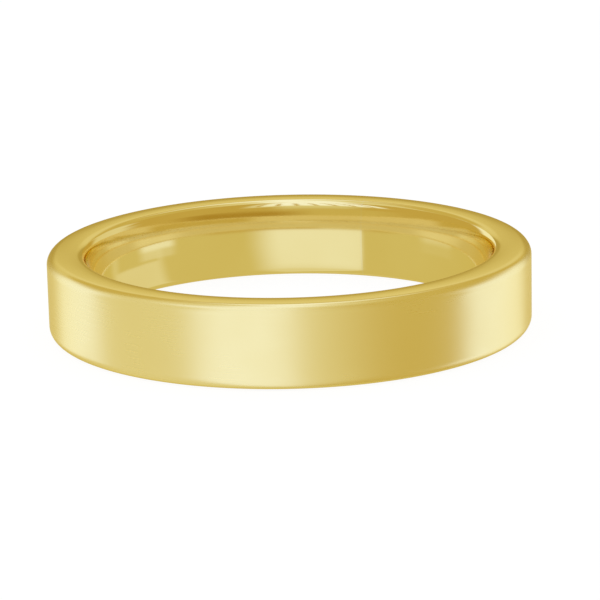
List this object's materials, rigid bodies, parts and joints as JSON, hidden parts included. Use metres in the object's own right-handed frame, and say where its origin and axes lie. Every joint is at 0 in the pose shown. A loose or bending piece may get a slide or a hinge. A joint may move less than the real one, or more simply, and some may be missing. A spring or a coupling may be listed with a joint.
{
  "type": "wedding band",
  "caption": "Plain polished yellow-gold wedding band, flat outside with softly rounded edges and a gently domed inside.",
  "frame": {"origin": "on the ring's axis, in the plane of the lower rim that it lies on", "axes": "+Z along the axis that the finger passes through, +Y towards the back of the ring, +X to its right"},
  "size_m": [0.0234, 0.0234, 0.004],
  "materials": {
    "polished_gold": "polished",
    "gold_solder": "polished"
  },
  "bodies": {
    "root": {"band": "polished_gold", "solder_seam": "gold_solder"}
  },
  "joints": []
}
